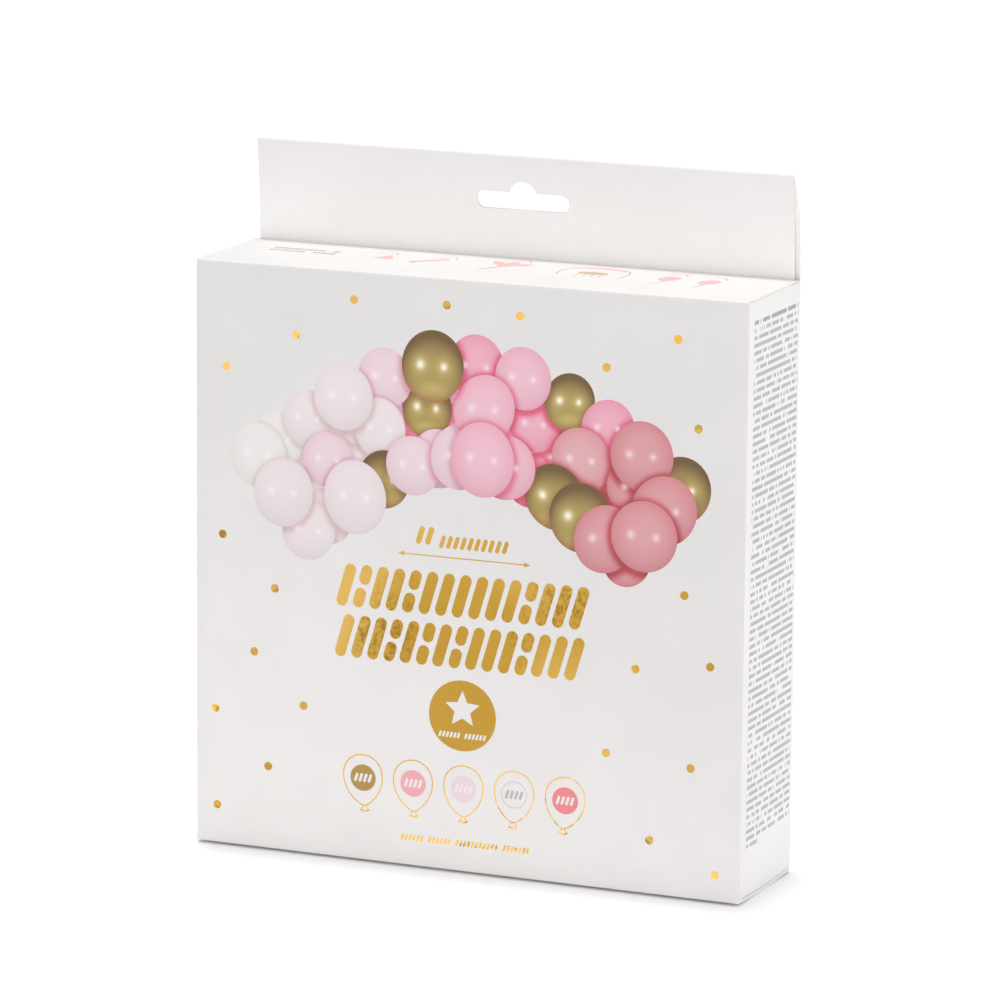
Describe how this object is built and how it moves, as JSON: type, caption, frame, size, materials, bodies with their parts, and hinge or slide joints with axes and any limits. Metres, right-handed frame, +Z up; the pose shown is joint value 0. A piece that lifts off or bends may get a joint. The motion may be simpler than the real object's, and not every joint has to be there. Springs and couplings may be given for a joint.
{
  "type": "hang-tab carton",
  "caption": "Empty retail carton of white folding board: a tall shallow box with a hinged tuck lid at the top and a slotted hang tab rising along its back.",
  "frame": {"origin": "on the floor under the middle of the carton", "axes": "+Z up towards the hang tab; +X to the right as seen from the front; the printed front panel faces -Y"},
  "size_m": [0.2, 0.05, 0.239],
  "materials": {
    "white_board": "white folding board with a satin print coat, gold foil marks and pink and gold print on the front",
    "lid_board": "white folding board with a satin print coat and small pink and gold marks"
  },
  "bodies": {
    "carton": {"carton_body": "white_board"},
    "lid": {"lid_flap": "lid_board"}
  },
  "joints": [
    {"name": "lid_hinge", "type": "hinge", "parent": "carton", "child": "lid", "pos_m": [0, -0.025, 0.204], "axis": [1, 0, 0], "range_deg": [0, 180]}
  ]
}
